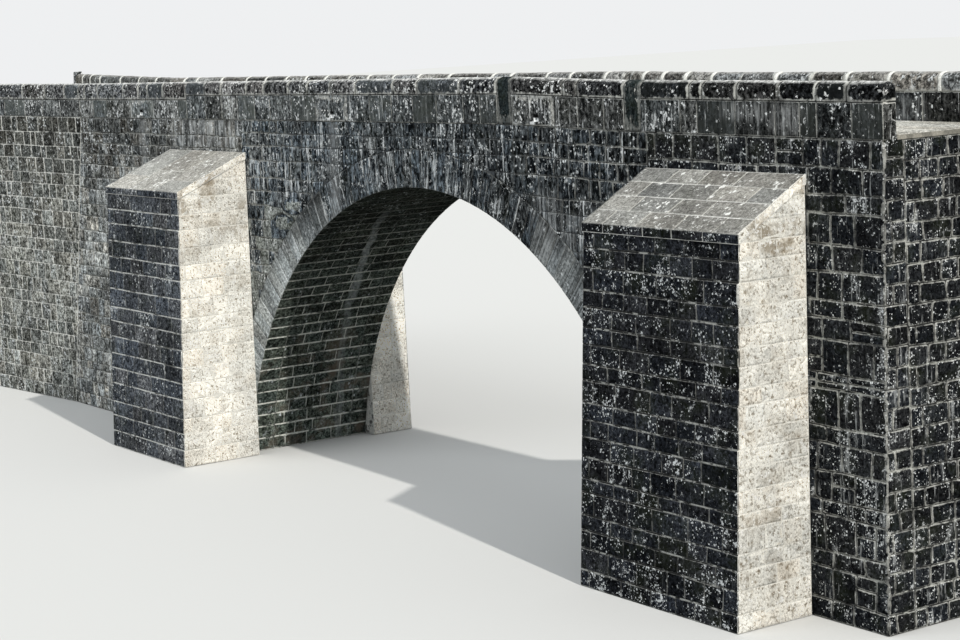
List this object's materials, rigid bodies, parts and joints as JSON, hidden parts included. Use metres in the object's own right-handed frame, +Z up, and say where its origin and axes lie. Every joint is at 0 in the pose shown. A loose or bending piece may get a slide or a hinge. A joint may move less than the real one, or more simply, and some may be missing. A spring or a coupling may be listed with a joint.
{
  "type": "stone arch bridge",
  "caption": "Old granite road bridge with a round stone arch, sloping-topped buttresses and stone parapets.",
  "frame": {"origin": "middle of the footprint, at the level where the walls stand on the ground or the river bed", "axes": "+X along the bridge towards its right end, +Z up, near side with the deeper buttresses at -Y"},
  "size_m": [39.2, 6.3756, 9.2],
  "materials": {
    "barrel_stone": "weathered dark granite with pale lime streaks and thin pale joints",
    "arch_stone": "smooth weathered grey granite voussoirs",
    "wing_ashlar": "small squared dark granite blocks with pale mortar joints",
    "wall_ashlar": "near-black weathered granite blocks with white lichen and pale joints",
    "rubble_fill": "rubble and earth fill, hidden inside the walls",
    "road_slab": "worn grey granite slabs",
    "buttress_ashlar": "granite blocks, dark in front and warm cream on the sunny side",
    "cap_slab": "mid-grey granite slabs with pale joints and lichen",
    "parapet_slab": "dark upright granite slabs with lichen speckles",
    "coping_stone": "dark rounded granite coping with white mortar joints",
    "drip_stone": "pale lime-crusted granite"
  },
  "bodies": {
    "root": {"arch_barrel": "barrel_stone", "near_arch_ring": "arch_stone", "far_arch_ring": "arch_stone", "near_left_wall": "wall_ashlar", "near_spandrel_wall": "wall_ashlar", "near_right_wall": "wall_ashlar", "far_left_wall": "wall_ashlar", "far_spandrel_wall": "wall_ashlar", "far_right_wall": "wall_ashlar", "near_wing_wall": "wing_ashlar", "far_wing_wall": "wing_ashlar", "left_end_wall": "wall_ashlar", "right_end_wall": "wall_ashlar", "left_fill": "rubble_fill", "right_fill": "rubble_fill", "road_slabs": "road_slab", "near_left_buttress": "buttress_ashlar", "near_right_buttress": "buttress_ashlar", "far_left_buttress": "buttress_ashlar", "far_right_buttress": "buttress_ashlar", "near_left_cap": "cap_slab", "near_right_cap": "cap_slab", "far_left_cap": "cap_slab", "far_right_cap": "cap_slab", "near_wing_slabs": "parapet_slab", "near_left_slabs": "parapet_slab", "near_middle_slabs": "parapet_slab", "near_slope_slabs": "parapet_slab", "near_right_slabs": "parapet_slab", "near_wing_coping": "coping_stone", "near_left_coping": "coping_stone", "near_middle_coping": "coping_stone", "near_slope_coping": "coping_stone", "near_right_coping": "coping_stone", "crown_upright_stone": "coping_stone", "buttress_upright_stone": "coping_stone", "far_wing_slabs": "parapet_slab", "far_middle_slabs": "parapet_slab", "far_right_slabs": "parapet_slab", "far_wing_coping": "coping_stone", "far_middle_coping": "coping_stone", "far_slope_coping": "coping_stone", "far_right_coping": "coping_stone", "left_end_stones": "coping_stone", "drain_lips": "drip_stone"}
  },
  "joints": []
}
